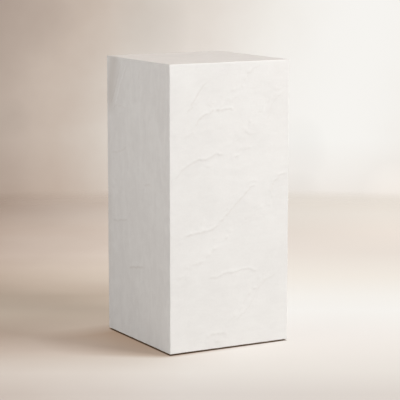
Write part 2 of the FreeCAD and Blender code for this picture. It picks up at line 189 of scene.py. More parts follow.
# On the left face, the laps that barely lift the coat are mostly painted: dark lines of dirt and painted
# shade, light lines of painted highlight
LEFT_LAPS = [
    (0.7, -1.0, False, [
        (-64, 748), (-69, 740), (-79, 719), (-91, 702), (-102, 687), (-110, 670), (-120, 651), (-134, 628),
    ]),
    (0.1, 0.7, False, [(-96, 748), (-110, 716), (-128, 682), (-144, 652), (-160, 630)]),
    (1.2, 1.3, False, [(-59, 196), (-10, 205), (36, 213)]),
    (0.5, -0.4, False, [(-26, 216), (-8, 219), (10, 221)]),
    (0.8, 0.7, False, [(-158, 318), (-132, 314), (-99, 321), (-55, 326)]),
    (0.8, 0.7, False, [(-162, 500), (-148, 502), (-116, 506), (-90, 514), (-60, 526)]),
    (0.7, 0.8, False, [(29, 435), (53, 436), (82, 442)]),
    (0.3, 0.5, False, [(-150, 616), (-126, 632), (-94, 632), (-60, 626)]),
    (0.3, 0.4, False, [(-120, 608), (-100, 612), (-78, 614)]),
    (0.3, 0.6, False, [(6, 706), (9, 722), (12, 738)]),
    (0.1, -0.8, False, [(19, 664), (20, 683), (22, 702)]),
    (0.1, -0.8, False, [(41, 408), (42, 420), (43, 432)]),
    (0.1, -0.8, False, [(-88, 272), (-83, 253), (-78, 234)]),
]

# Painted shade on the left face, in soft darker zones along its back edge: how strong, how wide in
# millimetres, and the line along their middle
LEFT_SHADE_VEILS = [
    (1.8, 28, [(-128, 820), (-144, 730), (-158, 670), (-174, 590)]),
    (0.55, 18, [(-176, 660), (-176, 430), (-176, 250), (-176, 40)]),
]

# Ways along which the trowel left short crumbs of plaster, in millimetres as above
FRONT_CRUMBS = [
    [(-5, 518), (36, 533), (72, 539)],
    [(-12, 560), (22, 572), (60, 590), (100, 640), (131, 668), (160, 700)],
    [(-40, 640), (-8, 668), (20, 694), (44, 722), (70, 748)],
    [(-140, 560), (-118, 590), (-100, 604)],
    [(-104, 640), (-84, 662), (-60, 664), (-30, 656)],
    [(-150, 196), (-110, 226), (-74, 262), (-30, 296), (10, 318)],
    [(-40, 20), (0, 60), (18, 92), (44, 130), (76, 158), (110, 190)],
    [(-75, 20), (-40, 26), (0, 30)],
    [(-125, 330), (-100, 332), (-70, 336)],
    [(20, 330), (60, 352), (96, 372), (140, 396)],
]
LEFT_CRUMBS = [
    [(-60, 560), (-30, 610), (0, 650), (24, 700)],
    [(-160, 560), (-130, 566), (-96, 580), (-70, 610)],
    [(-150, 380), (-140, 430), (-150, 500)],
    [(30, 400), (60, 450), (88, 480)],
    [(-20, 100), (30, 128), (90, 150)],
]


# Plaster: how high it stands out of the flat


def waves(u, v, seed, short, long, count=40, heading=0.0, spread=math.pi):
    """A smooth random field of unit strength: waves between two lengths, all round or about a heading."""
    rng = np.random.default_rng(seed)
    total = np.zeros_like(u)
    for _ in range(count):
        length = math.exp(rng.uniform(math.log(short), math.log(long)))
        angle = heading + rng.uniform(-spread, spread)
        phase = rng.uniform(0, FULL_TURN)
        total += np.cos(FULL_TURN * (u * math.cos(angle) + v * math.sin(angle)) / length + phase)
    return total * math.sqrt(2 / count)


def smooth(x):
    """From 0 to 1 as x does, level at both ends."""
    x = np.clip(x, 0, 1)
    return x * x * (3 - 2 * x)


def run_along(points):
    """How far along a line each of its points lies."""
    return np.concatenate([[0], np.cumsum(np.linalg.norm(np.diff(points, axis=0), axis=1))])


def curve_through(points, step):
    """Evenly close points on a smooth curve through a few points."""
    p = np.array(points, float)
    p = np.vstack([2 * p[0] - p[1], p, 2 * p[-1] - p[-2]])
    made = []
    for a, b, c, d in zip(p, p[1:], p[2:], p[3:]):
        count = max(2, int(np.linalg.norm(c - b) / step))
        t = np.linspace(0, 1, count, endpoint=False)[:, None]
        bend = 2 * a - 5 * b + 4 * c - d
        twist = 3 * b - a - 3 * c + d
        made.append(0.5 * (2 * b + (c - a) * t + bend * t**2 + twist * t**3))
    made.append(p[-2:-1])
    return np.vstack(made)


class Lap:
    """One edge left by the trowel, on one face."""

    def __init__(self, high, painted_tone, cut, points):
        self.line = curve_through(np.array(points, float) * MM, LAP_STEP)
        slope = np.gradient(self.line, axis=0)
        self.along = slope / np.linalg.norm(slope, axis=1)[:, None]
        run = run_along(self.line)
        reach = min(LAP_FADE, run[-1] / 3)
        fade = smooth(run / reach)
        if not cut:
            fade = fade * smooth((run[-1] - run) / reach)
        self.high = high * fade
        self.painted_tone = painted_tone * fade

    def nearest(self, u, v):
        """For each place: the number of the lap's nearest point, and how far away that is."""
        best = np.full(len(u), np.inf)
        number = np.zeros(len(u), int)
        for i, (x, y) in enumerate(self.line):
            d = (u - x) ** 2 + (v - y) ** 2
            closer = d < best
            best[closer] = d[closer]
            number[closer] = i
        return number, np.sqrt(best)

    def marks(self, u, v, shake):
        """How far the lap lifts the coat, and its painted tone: dirt and painted shade above 0 in the
        crease, a painted highlight below 0 on the bead.
        """
        number, _ = self.nearest(u, v)
        du = u - self.line[number, 0]
        dv = v - self.line[number, 1]
        along = self.along[number]
        side = du * along[:, 1] - dv * along[:, 0] + shake - DROP_BELOW
        past = du * along[:, 0] + dv * along[:, 1]
        lip = LIP_HIGH * np.exp(np.minimum(side, 0) / LIP_LONG)
        bead = BEAD_HIGH * np.exp(-(((side + BEAD_WIDE) / BEAD_WIDE) ** 2))
        drop = smooth(0.5 + side / DROP_LONG)
        ended = np.exp(-((past / DROP_LONG) ** 2))
        # Dirt and painted shade along the crease, and a painted highlight beyond the bead
        dark = np.exp(-((side / CREASE_WIDE) ** 2))
        bead_highlight = HIGHLIGHT_SHARE * np.exp(-(((side + 2 * BEAD_WIDE) / BEAD_WIDE) ** 2))
        tone = self.painted_tone[number] * ended * (dark - bead_highlight)
        return self.high[number] * ended * (lip + bead) * (1 - drop), tone


class ShadeVeil(Lap):
    """A soft zone of painted shade along a line, which lifts nothing."""

    def __init__(self, tone, wide, points):
        super().__init__(0, tone, False, points)
        share = np.linspace(0, 1, len(self.line))
        self.painted_tone = tone * smooth(SHADE_VEIL_ENDS * np.minimum(share, 1 - share))
        self.wide = wide * MM

    def marks(self, u, v, shake):
        number, away = self.nearest(u, v)
        return np.zeros_like(u), self.painted_tone[number] * np.exp(-((away / self.wide) ** 2))


class Face:
    """One flat side of the coat: its axis and end, its directions as seen from outside, and its marks."""

    def __init__(self, axis, end, across, up, seed, laps, shade_veils=()):
        self.axis = axis
        self.end = end
        self.level = (COAT_HIGH if end > 0 else COAT_LOW)[axis]
        self.across = np.array(across, float)
        self.up = np.array(up, float)
        self.seed = seed
        self.laps = [Lap(*lap) for lap in laps]
        self.shade_veils = [ShadeVeil(*shade_veil) for shade_veil in shade_veils]

    def places(self, points):
        """Where points lie across and up the face."""
        return points @ self.across, points @ self.up

    def height(self, u, v):
        """How far the coat stands out at these places, and the painted tone that the laps and shade veils
        give it.
        """
        first, second, third, fourth = range(self.seed, self.seed + 4)
        total = SWELL_HIGH * waves(u, v, first, *SWELL_LONG)
        total += RIPPLE_HIGH * waves(u, v, second, *RIPPLE_LONG)
        strokes = waves(u, v, third, *STROKE_LONG, heading=STROKE_HEADING, spread=STROKE_SPREAD)
        total += STROKE_HIGH * strokes
        shake = LAP_SHAKE * waves(u, v, fourth, *SHAKE_LONG, count=FEW_WAVES)
        tone = np.zeros_like(u)
        for lap in self.laps + self.shade_veils:
            high, change = lap.marks(u, v, shake)
            total += high
            tone += change
        return total, np.clip(tone, MOST_HIGHLIGHT, DARKEST)


def wandering_laps(rng, wide, low, high, rows):
    """Laps like the front's for a face that doesn't show: two to a row, rising to the right."""
    laps = []
    for row in range(rows):
        for column in range(2):
            if rng.random() < WANDER_LEFT_OUT:
                continue
            x = wide * (WANDER_START + WANDER_APART * column + rng.uniform(*WANDER_ASIDE))
            y = low + (high - low) * (row + rng.uniform(*WANDER_UP)) / rows
            heading = math.radians(rng.uniform(*WANDER_HEADING))
            bend = math.radians(rng.uniform(*WANDER_BEND))
            step = rng.uniform(*WANDER_STEP)
            points = [(x, y)]
            for _ in range(rng.integers(*WANDER_POINTS)):
                x += step * math.cos(heading)
                y += step * math.sin(heading)
                heading += bend
                if abs(x) > WANDER_END * wide or not low < y < high:
                    break
                points.append((x, y))
            if len(points) > 2:
                lap_high, tone = rng.uniform(*WANDER_HIGH), rng.uniform(*WANDER_TONE)
                laps.append((lap_high, tone, bool(rng.random() < WANDER_CUT), points))
    return laps


def crumbs(rng, ways):
    """Short low laps scattered along a few ways, most of them rising a little to the right."""
    laps = []
    for way in ways:
        points = np.array(way, float)
        run = run_along(points)
        for at in np.arange(rng.uniform(0, CRUMB_EVERY), run[-1], CRUMB_EVERY):
            x = np.interp(at, run, points[:, 0]) + rng.normal(0, CRUMB_ASIDE)
            y = np.interp(at, run, points[:, 1]) + rng.normal(0, CRUMB_ASIDE)
            heading = math.radians(rng.uniform(*CRUMB_HEADING))
            bend = math.radians(rng.uniform(*CRUMB_BEND))
            half = rng.uniform(*CRUMB_LONG) / 2
            start = x - half * math.cos(heading - bend), y - half * math.sin(heading - bend)
            stop = x + half * math.cos(heading + bend), y + half * math.sin(heading + bend)
            laps.append((rng.uniform(*CRUMB_HIGH), rng.uniform(*CRUMB_TONE), False, [start, (x, y), stop]))
    return laps


def make_faces():
    """The five faces of the coat that show, with their laps drawn in a fixed order."""
    rng = np.random.default_rng(SEED)
    wide = (COAT_HIGH.x - COAT_LOW.x) / MM
    low, high = COAT_LOW.z / MM + WANDER_MARGIN, COAT_HIGH.z / MM - WANDER_MARGIN
    back = wandering_laps(rng, wide, low, high, WANDER_ROWS)
    right = wandering_laps(rng, wide, low, high, WANDER_ROWS)
    top = wandering_laps(rng, wide, -WANDER_ON_TOP * wide, WANDER_ON_TOP * wide, WANDER_ROWS_ON_TOP)
    front = FRONT_LAPS + crumbs(rng, FRONT_CRUMBS)
    left = LEFT_LAPS + crumbs(rng, LEFT_CRUMBS)
    back += crumbs(rng, [points for _, _, _, points in back[1::2]])
    right += crumbs(rng, [points for _, _, _, points in right[1::2]])
    return [
        Face(Y, -1, (1, 0, 0), (0, 0, 1), 11, front),
        Face(Y, 1, (-1, 0, 0), (0, 0, 1), 21, back),
        Face(X, -1, (0, -1, 0), (0, 0, 1), 31, left, LEFT_SHADE_VEILS),
        Face(X, 1, (0, 1, 0), (0, 0, 1), 41, right),
        Face(Z, 1, (1, 0, 0), (0, 1, 0), 51, top),
    ]


# Plaster: its mesh


def lines_between(low, high):
    """Places of the grid's lines along one side: close at the rounded ends and even between them."""
    ends = [ARRIS_ROOM * (1 - math.tan(math.pi / 4 * (1 - k / ARRIS_STEPS))) for k in range(ARRIS_STEPS)]
    count = round((high - low - 2 * ARRIS_ROOM) / CELL)
    even = np.linspace(low + ARRIS_ROOM, high - ARRIS_ROOM, count + 1)
    return np.concatenate([low + np.array(ends), even, high - np.array(ends)[::-1]])


def quads_of(axis, level, counts, keep=None):
    """The grid's squares on one side of the block, as four corner numbers each, wound to face outwards."""
    first, second = [k for k in AXES if k != axis]
    i, j = np.meshgrid(np.arange(counts[first] - 1), np.arange(counts[second] - 1), indexing="ij")
    i, j = i.ravel(), j.ravel()
    if keep is not None:
        chosen = keep(i, j)
        i, j = i[chosen], j[chosen]
    corners = []
    for di, dj in ((0, 0), (1, 0), (1, 1), (0, 1)):
        corner = np.zeros((len(i), 3), int)
        corner[:, axis] = level
        corner[:, first] = i + di
        corner[:, second] = j + dj
        corners.append(corner)
    squares = np.stack(corners, axis=1)
    faces_up = (axis != Y) == (level > 0)
    return squares if faces_up else squares[:, ::-1]


def grid_squares(faces, counts):
    """The grid's squares on the five marked faces and on the narrow rim below."""

    def in_rim(i, j):
        return np.minimum(np.minimum(i, counts[0] - 2 - i), np.minimum(j, counts[1] - 2 - j)) < ARRIS_STEPS

    squares = []
    for face in faces:
        level = counts[face.axis] - 1 if face.end > 0 else 0
        squares.append(quads_of(face.axis, level, counts))
    squares.append(quads_of(Z, 0, counts, in_rim))
    return np.concatenate(squares)


def gathered(points, faces):
    """The grid's points drawn towards the laps, so that the mesh is finest where the surface turns."""
    moved = points.copy()
    for face in faces:
        on = np.abs(points[:, face.axis] - face.level) < SAME_PLACE
        inside = np.full(len(points), np.inf)
        for k in AXES:
            if k != face.axis:
                inside = np.minimum(inside, points[:, k] - COAT_LOW[k])
                inside = np.minimum(inside, COAT_HIGH[k] - points[:, k])
        on &= inside > GATHER_MARGIN / 2
        u, v = face.places(points[on])
        free = smooth((inside[on] - GATHER_MARGIN / 2) / GATHER_MARGIN)
        du = np.zeros_like(u)
        dv = np.zeros_like(v)
        for lap in face.laps:
            number, away = lap.nearest(u, v)
            pull = GATHER_SHARE * free * np.exp(-((away / GATHER_REACH) ** 2))
            du -= pull * (u - lap.line[number, 0])
            dv -= pull * (v - lap.line[number, 1])
        moved[on] += du[:, None] * face.across + dv[:, None] * face.up
    return moved


def shaped(points, faces):
    """The block's points with its edges rounded and every face's marks in it, and the painted tone at each.
    """
    round_edges = waves(points[:, 0] + points[:, 1], points[:, 2], SEED, *ARRIS_WAVES, FEW_WAVES)
    radius = np.clip(ARRIS + ARRIS_CHANGE * round_edges, 0.5 * ARRIS, ARRIS_ROOM)[:, None]
    core = np.clip(points, np.array(COAT_LOW) + radius, np.array(COAT_HIGH) - radius)
    out = points - core
    made = core + radius * out / np.maximum(np.linalg.norm(out, axis=1), NOT_ZERO)[:, None]
    tones = np.zeros(len(points))
    for face in faces:
        depth = np.abs(points[:, face.axis] - face.level)
        near = depth < RAMP
        u, v = face.places(points[near])
        height, tone = face.height(u, v)
        fade = 1 - smooth((depth[near] - ARRIS_ROOM) / (RAMP - ARRIS_ROOM))
        made[near, face.axis] += face.end * height * fade
        tones[near] += np.where(depth[near] < ARRIS_ROOM, tone, 0)
    return made, tones


def inner_corners():
    """The corners of the hollow that the boards fill: four round its foot and four round its ceiling."""
    low, high = CORE_LOW, CORE_HIGH
    around = [(low.x, low.y), (high.x, low.y), (high.x, high.y), (low.x, high.y)]
    return [(x, y, z) for z in (COAT_LOW.z, high.z) for x, y in around]


def inner_polygons(index, counts, start):
    """The ledge below, the walls and the ceiling of the hollow, whose corners are numbered from start."""
    rim = ARRIS_STEPS
    last_x, last_y = counts[0] - 1 - rim, counts[1] - 1 - rim
    sides = [
        [(i, rim) for i in range(rim, last_x + 1)],
        [(last_x, j) for j in range(rim, last_y + 1)],
        [(i, last_y) for i in range(last_x, rim - 1, -1)],
        [(rim, j) for j in range(last_y, rim - 1, -1)],
    ]
    polygons = []
    for k, side in enumerate(sides):
        after = (k + 1) % 4
        polygons.append([start + k, start + after] + [index[i, j, 0] for i, j in reversed(side)])
        polygons.append([start + after, start + k, start + 4 + k, start + 4 + after])
    polygons.append([start + 7, start + 6, start + 5, start + 4])
    return polygons


def plaster_mesh():
    """One closed skin: five marked faces, a narrow rim below and a flat inside against the boards."""
    faces = make_faces()
    lines = [lines_between(COAT_LOW[k], COAT_HIGH[k]) for k in AXES]
    counts = [len(line) for line in lines]
    squares = grid_squares(faces, counts)
    nodes, numbers = np.unique(squares.reshape(-1, 3), axis=0, return_inverse=True)
    grid = np.stack([lines[k][nodes[:, k]] for k in AXES], axis=1)
    points, tones = shaped(gathered(grid, faces), faces)

    index = {tuple(node): number for number, node in enumerate(nodes)}
    polygons = numbers.reshape(-1, 4).tolist() + inner_polygons(index, counts, len(points))
    inner = inner_corners()
    mesh = bpy.data.meshes.new("plaster_skin")
    mesh.from_pydata(np.vstack([points, inner]).tolist(), [], polygons)
    mesh.validate()
    mesh.polygons.foreach_set("use_smooth", [True] * len(mesh.polygons))
    mesh.set_sharp_from_angle(angle=SHARP_FROM)
    # The painted tone of laps and shade veils: dirt and painted shade above 0, a painted highlight below 0
    tone = mesh.attributes.new("lap_dirt_shade_highlight", "FLOAT", "POINT")
    tone.data.foreach_set("value", np.concatenate([tones, np.zeros(len(inner))]).astype(np.float32))
    return mesh


# Materials


def srgb(r, g, b):
    """A colour as written on a screen, 0 to 255, in linear light."""
    shares = r / 255, g / 255, b / 255
    return tuple(x / 12.92 if x <= 0.04045 else ((x + 0.055) / 1.055) ** 2.4 for x in shares)


class Shader:
    """A material under construction: adds nodes by kind and joins them."""

    def __init__(self, name, **settings):
        self.material = bpy.data.materials.new(name)
        self.material.use_nodes = True
        self.tree = self.material.node_tree
        self.tree.nodes.clear()
        self.surface = self.add("ShaderNodeBsdfPrincipled")
        self.set(self.surface, **settings)
        self.output = self.add("ShaderNodeOutputMaterial")
        self.join(self.surface.outputs["BSDF"], self.output.inputs["Surface"])
        self.place = self.add("ShaderNodeTexCoord").outputs["Object"]

    def add(self, kind):
        return self.tree.nodes.new(kind)

    def join(self, source, target):
        self.tree.links.new(source, target)

    def put(self, value, target):
        """Gives a socket another node's result or a plain value."""
        if isinstance(value, bpy.types.NodeSocket):
            self.join(value, target)
        else:
            target.default_value = value

    def set(self, node, **settings):
        """Sets a node's sockets by name, with _ for a space."""
        for name, value in settings.items():
            node.inputs[name.replace("_", " ")].default_value = value

    def stretched(self, x, y, z):
        """The place on the piece, with each direction scaled."""
        node = self.add("ShaderNodeMapping")
        self.set(node, Scale=(x, y, z))
        self.join(self.place, node.inputs["Vector"])
        return node.outputs["Vector"]

    def split(self, vector):
        """The three numbers of a vector."""
        node = self.add("ShaderNodeSeparateXYZ")
        self.join(vector, node.inputs["Vector"])
        return node.outputs["X"], node.outputs["Y"], node.outputs["Z"]

    def noise(self, scale, detail=3.0, roughness=0.55, where=None, distortion=0.0):
        """Soft noise from 0 to 1, at so many features to the metre."""
        node = self.add("ShaderNodeTexNoise")
        self.set(node, Scale=scale, Detail=detail, Roughness=roughness, Distortion=distortion)
        self.join(where or self.place, node.inputs["Vector"])
        return node.outputs["Fac"]

    def cells(self, scale):
        """Distance to the nearest of many scattered spots."""
        node = self.add("ShaderNodeTexVoronoi")
        self.set(node, Scale=scale)
        self.join(self.place, node.inputs["Vector"])
        return node.outputs["Distance"]

    def spread(self, source, low, high, to_low=0.0, to_high=1.0, held=True):
        """A range of values stretched to another, and held at its ends or not."""
        node = self.add("ShaderNodeMapRange")
        node.clamp = held
        self.join(source, node.inputs["Value"])
        self.set(node, From_Min=low, From_Max=high, To_Min=to_low, To_Max=to_high)
        return node.outputs["Result"]

    def turned_round(self, share):
        """One where a share is zero, and zero where it is one."""
        return self.spread(share, 0, 1, 1, 0)

    def reckon(self, operation, *values):
        """The result of a sum on other nodes' results and plain numbers."""
        node = self.add("ShaderNodeMath")
        node.operation = operation
        for value, target in zip(values, node.inputs):
            self.put(value, target)
        return node.outputs["Value"]

    def sum(self, first, second, share=1.0):
        """One value plus a share of another."""
        return self.reckon("MULTIPLY_ADD", second, share, first)

    def times(self, first, second):
        return self.reckon("MULTIPLY", first, second)

    def most(self, first, second):
        return self.reckon("MAXIMUM", first, second)

    def size_of(self, source):
        """A value without its sign."""
        return self.reckon("ABSOLUTE", source)

    def blend(self, share, first, second):
        """A colour between two, each a plain colour or another node's."""
        node = self.add("ShaderNodeMix")
        node.data_type = "RGBA"
        self.join(share, node.inputs["Factor"])
        targets = [socket for socket in node.inputs if socket.type == "RGBA"]
        for target, colour in zip(targets, (first, second)):
            self.put((*colour, 1) if isinstance(colour, tuple) else colour, target)
        return next(socket for socket in node.outputs if socket.type == "RGBA")

    def between(self, share, first, second):
        """A value between two others."""
        node = self.add("ShaderNodeMix")
        self.join(share, node.inputs["Factor"])
        targets = [socket for socket in node.inputs if socket.type == "VALUE" and socket.name in ("A", "B")]
        for target, value in zip(targets, (first, second)):
            self.join(value, target)
        return next(socket for socket in node.outputs if socket.type == "VALUE")

    def vector_of(self, operation, output, *values):
        """The result of a vector sum on other nodes' results and plain vectors."""
        node = self.add("ShaderNodeVectorMath")
        node.operation = operation
        for value, target in zip(values, node.inputs):
            self.put(value, target)
        return node.outputs[output]

    def multiply(self, colour, other):
        """A colour times a plain colour or another node's."""
        return self.vector_of("MULTIPLY", "Vector", colour, other)

    def along(self, where, direction):
        """How far a place lies along a direction."""
        return self.vector_of("DOT_PRODUCT", "Value", where, direction)

    def ramp(self, source, stops):
        """A colour for each value, read off a few stops of (value, colour)."""
        low, high = stops[0][0], stops[-1][0]
        node = self.add("ShaderNodeValToRGB")
        self.join(self.spread(source, low, high), node.inputs["Fac"])
        marks = node.color_ramp.elements
        while len(marks) < len(stops):
            marks.new(0.5)
        for mark, (value, _) in zip(marks, stops):
            mark.position = (value - low) / (high - low)
        for mark, (_, colour) in zip(marks, stops):
            mark.color = (*colour, 1)
        return node.outputs["Color"]

    def glow(self, colour):
        """A surface that shines in a colour of its own."""
        node = self.add("ShaderNodeEmission")
        self.put((*colour, 1) if isinstance(colour, tuple) else colour, node.inputs["Color"])
        return node.outputs["Emission"]

    def mixed(self, share, first, second):
        """A surface between two."""
        node = self.add("ShaderNodeMixShader")
        for value, target in zip((share, first, second), node.inputs):
            self.join(value, target)
        return node.outputs["Shader"]

    def colour(self, source):
        self.join(source, self.surface.inputs["Base Color"])

    def rough(self, source, low, high):
        self.join(self.spread(source, *NOISE_RANGE, low, high), self.surface.inputs["Roughness"])

    def bump(self, source, deep):
        """Small relief of so many metres."""
        node = self.add("ShaderNodeBump")
        self.set(node, Strength=1.0, Distance=deep)
        self.join(source, node.inputs["Height"])
        self.join(node.outputs["Normal"], self.surface.inputs["Normal"])


WHITE = (1.0, 1.0, 1.0)
NOISE_RANGE = 0.25, 0.75
MID_RANGE = 0.3, 0.7

# Plaster: features to the metre, shades, painted shade on top, gloss and relief
# At the laps: dirt and painted shade in the creases, and a painted highlight on the beads
CLOUD_SCALE, DRAG_SCALE, SPOT_SCALE = 7, 26, 34
SHORT_SCALE, FINE_SCALE, PIT_SCALE = 70, 160, 900
PLASTER_SHADES = srgb(231, 228.2, 224.5), srgb(237.5, 235.2, 231.5)
PLASTER_TONES = 0.75, 1.3
SIDE_SPOTS = 0.4, 1.4, -0.5, 0.5
SIDE_STRETCH = 1.3, 1.3, 0.45
LEVEL_STRETCH = 1.0, 1.0, 2.4
GRAIN_STRETCH = 1.0, 1.0, 0.35
FACES_UP = 0.3, 1.0
TOP_PAINTED_SHADE = (0.91, 0.855, 0.82)
TOP_SHADE_WAY = (-0.8, 0.6, 0)
TOP_SHADE_SHARE = -0.2, 0.2, 0.58, 1.0
CREASE_DIRT_AND_SHADE, BEAD_HIGHLIGHT_COLOUR = srgb(205, 197, 189), srgb(255, 254, 252)
CREASE_PAINT = 0.3
GLOSS = 0.5, 0.06
PLASTER_ROUGH = 0.4, 0.58
PLASTER_DEEP = 0.1 * MM


def plaster():
    """Matte white plaster, cloudy, dragged and grainy: painted shade on top, dirt and painted shade in
    creases, painted bead highlights.
    """
    s = Shader("plaster")
    facing_x, _, facing_up = s.split(s.add("ShaderNodeNewGeometry").outputs["Normal"])
    on_side = s.size_of(facing_x)
    clouds = s.noise(CLOUD_SCALE, detail=4, roughness=0.6)
    level = s.noise(DRAG_SCALE, detail=4, roughness=0.6, where=s.stretched(*LEVEL_STRETCH), distortion=0.4)
    upright = s.noise(DRAG_SCALE, detail=4, roughness=0.6, where=s.stretched(*SIDE_STRETCH), distortion=0.8)
    drags = s.between(on_side, level, upright)
    fine = s.noise(FINE_SCALE)
    tone = s.sum(s.sum(clouds, drags, share=0.7), fine, share=0.3)
    spots = s.sum(s.noise(SPOT_SCALE, detail=4, roughness=0.65), upright, share=0.8)
    tone = s.sum(tone, s.times(on_side, s.spread(spots, *SIDE_SPOTS, held=False)))
    body = s.blend(s.spread(tone, *PLASTER_TONES), *PLASTER_SHADES)

    flat = s.spread(facing_up, *FACES_UP)
    s.join(s.spread(flat, 0, 1, *GLOSS), s.surface.inputs["Specular IOR Level"])
    # Painted shade: the top is darker and warmer, most towards the back left
    painted_top_share = s.times(flat, s.spread(s.along(s.place, TOP_SHADE_WAY), *TOP_SHADE_SHARE))
    with_top_shade = s.blend(painted_top_share, body, s.multiply(body, TOP_PAINTED_SHADE))
    lap = s.add("ShaderNodeAttribute")
    lap.attribute_name = "lap_dirt_shade_highlight"
    lap_dirt_shade_highlight = lap.outputs["Fac"]
    # Dirt and painted shade in the creases and shade veils, and a painted highlight on the beads
    dirt_and_shade = s.blend(s.spread(lap_dirt_shade_highlight, 0, DARKEST, 0, CREASE_PAINT * DARKEST), with_top_shade, CREASE_DIRT_AND_SHADE)
    s.colour(s.blend(s.spread(lap_dirt_shade_highlight, 0, MOST_HIGHLIGHT, 0, CREASE_PAINT), dirt_and_shade, BEAD_HIGHLIGHT_COLOUR))

    s.rough(s.sum(clouds, fine, share=0.5), *PLASTER_ROUGH)
    short = s.noise(SHORT_SCALE, roughness=0.6, where=s.stretched(*GRAIN_STRETCH))
    relief = s.sum(s.noise(PIT_SCALE, detail=2), short, share=1.2)
    relief = s.sum(s.sum(relief, drags, share=1.5), fine, share=0.8)
    s.bump(relief, PLASTER_DEEP)
    return s.material


# Boards, of pressed fibres
FLOCK_SCALE, STAIN_SCALE = 420, 14
BOARD_SHADES = srgb(176, 143, 104), srgb(206, 174, 132)
BOARD_STAIN = srgb(168, 134, 96)
BOARD_STRETCH = 1, 1, 2.5
BOARD_CLOUDS = 0.3, 0.7, 0, 0.25
BOARD_ROUGH = 0.72, 0.92
BOARD_DEEP = 0.08 * MM


def fibreboard():
    """Brown board of pressed fibres, a little cloudy."""
    s = Shader("fibreboard", Specular_IOR_Level=0.3)
    fibres = s.noise(FLOCK_SCALE, detail=4, roughness=0.7, where=s.stretched(*BOARD_STRETCH))
    clouds = s.spread(s.noise(STAIN_SCALE), *BOARD_CLOUDS)
    body = s.blend(s.spread(fibres, *MID_RANGE), *BOARD_SHADES)
    s.colour(s.blend(clouds, body, BOARD_STAIN))
    s.rough(fibres, *BOARD_ROUGH)
    s.bump(fibres, BOARD_DEEP)
    return s.material


# Woods: their light and dark shade, rings to the metre and depth of the grain
PINE = srgb(232, 206, 158), srgb(196, 152, 96), 55, 0.05 * MM
BEECH = srgb(222, 188, 150), srgb(188, 146, 106), 140, 0.03 * MM
FIBRE_SCALE, FIBRE_STRETCH = 900, 0.06
DRIFT_SCALE, DRIFT_STRETCH = 30, 0.2
WOOD_TONES = 0.5, 1.4
WOOD_ROUGH = 0.55, 0.78


def wood(name, grain, light, dark, rings_per_metre, deep):
    """Planed wood with its grain along one direction: rings, fine fibres and a slow change of tone."""
    s = Shader(f"{name}_{'xyz'[grain]}", Specular_IOR_Level=0.35)
    fibre_way = [FIBRE_STRETCH if k == grain else 1.0 for k in AXES]
    drift_way = [DRIFT_STRETCH if k == grain else 1.0 for k in AXES]
    drift = s.noise(DRIFT_SCALE, roughness=0.5, where=s.stretched(*drift_way))
    rings = s.add("ShaderNodeTexWave")
    rings.wave_type = "RINGS"
    rings.rings_direction = "XYZ"[grain]
    s.set(rings, Scale=rings_per_metre, Distortion=3.0, Detail=3.0, Detail_Scale=1.5)
    s.join(s.stretched(*fibre_way), rings.inputs["Vector"])
    fibres = s.noise(FIBRE_SCALE, roughness=0.6, where=s.stretched(*fibre_way))
    tone = s.sum(s.sum(rings.outputs["Fac"], fibres, share=0.5), drift, share=0.5)
    s.colour(s.blend(s.spread(tone, *WOOD_TONES), light, dark))
    s.rough(fibres, *WOOD_ROUGH)
    s.bump(s.sum(fibres, rings.outputs["Fac"], share=0.3), deep)
    return s.material


# Screws, T-nuts and foot bolts
SPANGLE_SCALE, STEEL_HAZE_SCALE, STEEL_PIT_SCALE = 260, 60, 1500
STEEL_SHADES = srgb(206, 208, 210), srgb(176, 180, 184)
STEEL_TONES = 0.3, 1.0
STEEL_ROUGH = 0.28, 0.5
STEEL_DEEP = 0.01 * MM


def zinc_steel():
    """Zinced steel with a faint spangle."""
    s = Shader("zinc_steel", Metallic=1.0)
    spangle = s.cells(SPANGLE_SCALE)
    haze = s.noise(STEEL_HAZE_SCALE, detail=4, roughness=0.6)
    s.colour(s.blend(s.spread(s.sum(spangle, haze, share=0.6), *STEEL_TONES), *STEEL_SHADES))
    s.rough(s.sum(haze, spangle, share=0.3), *STEEL_ROUGH)
    s.bump(s.noise(STEEL_PIT_SCALE, detail=2), STEEL_DEEP)
    return s.material


# Foot pads
NYLON_HAZE_SCALE, NYLON_PIT_SCALE = 90, 1800
NYLON_SHADES = srgb(30, 30, 31), srgb(44, 44, 45)
NYLON_ROUGH = 0.42, 0.62
NYLON_DEEP = 0.03 * MM


def nylon():
    """Black moulded nylon."""
    s = Shader("nylon", Specular_IOR_Level=0.45)
    haze = s.noise(NYLON_HAZE_SCALE)
    s.colour(s.blend(s.spread(haze, *MID_RANGE), *NYLON_SHADES))
    s.rough(haze, *NYLON_ROUGH)
    s.bump(s.noise(NYLON_PIT_SCALE, detail=2), NYLON_DEEP)
    return s.material


def dress_nodes():
    """Every solid that stays in view gets its finish."""
    pine = [wood("pine", grain, *PINE) for grain in AXES]
    beech = {grain: wood("beech", grain, *BEECH) for grain in (Y, Z)}
    board, steel, pad = fibreboard(), zinc_steel(), nylon()
    along = {"front": X, "back": X, "left": Y, "right": Y}
    for name, node in frame["nodes"].items():
        if name.startswith("corner_post"):
            finish = pine[Z]
        elif "_cleat_" in name:
            finish = pine[along[name.split("_")[-1]]]
        elif name == "wall_dowels":
            finish = beech[Y]
        elif name == "top_dowels":
            finish = beech[Z]
        elif name.startswith("foot_pad"):
            finish = pad
        elif name.startswith("foot_bolt") or name == "t_nuts" or name.endswith("_screws"):
            finish = steel
        else:
            finish = board
        for slot in node.material_slots:
            slot.material = finish


# Camera

EYE = Vector((-2.270, -4.078, 1.116))
YAW, PITCH = math.radians(29.21), math.radians(9.03)
LENS, SENSOR = 156.4, 36.0


def add_object(name, data):
    """A new object of the scene."""
    item = bpy.data.objects.new(name, data)
    bpy.context.scene.collection.objects.link(item)
    return item


